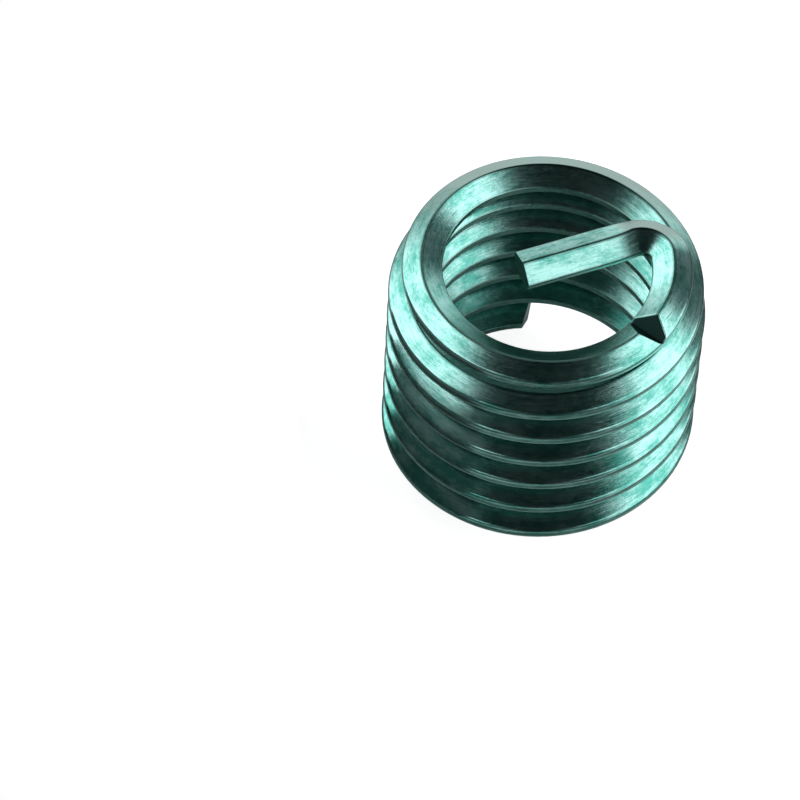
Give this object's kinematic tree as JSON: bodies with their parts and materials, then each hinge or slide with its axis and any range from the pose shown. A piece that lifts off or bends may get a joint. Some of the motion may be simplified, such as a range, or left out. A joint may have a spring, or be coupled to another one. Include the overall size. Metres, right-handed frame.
{
  "type": "helical thread insert",
  "caption": "Right-hand coil of diamond-section wire that lines a tapped hole, with a straight drive tang across one end and a V snap notch beside it.",
  "frame": {"origin": "on the coil's axis, level with the lowest point of the wire's cut end", "axes": "+Z along the coil's axis towards the tang, +X along the tang towards its bend"},
  "size_m": [0.0124, 0.0124, 0.0112],
  "materials": {
    "dyed_steel": "drawn stainless wire dyed dark green, semi-gloss"
  },
  "bodies": {
    "root": {"thread_insert": "dyed_steel"}
  },
  "joints": []
}
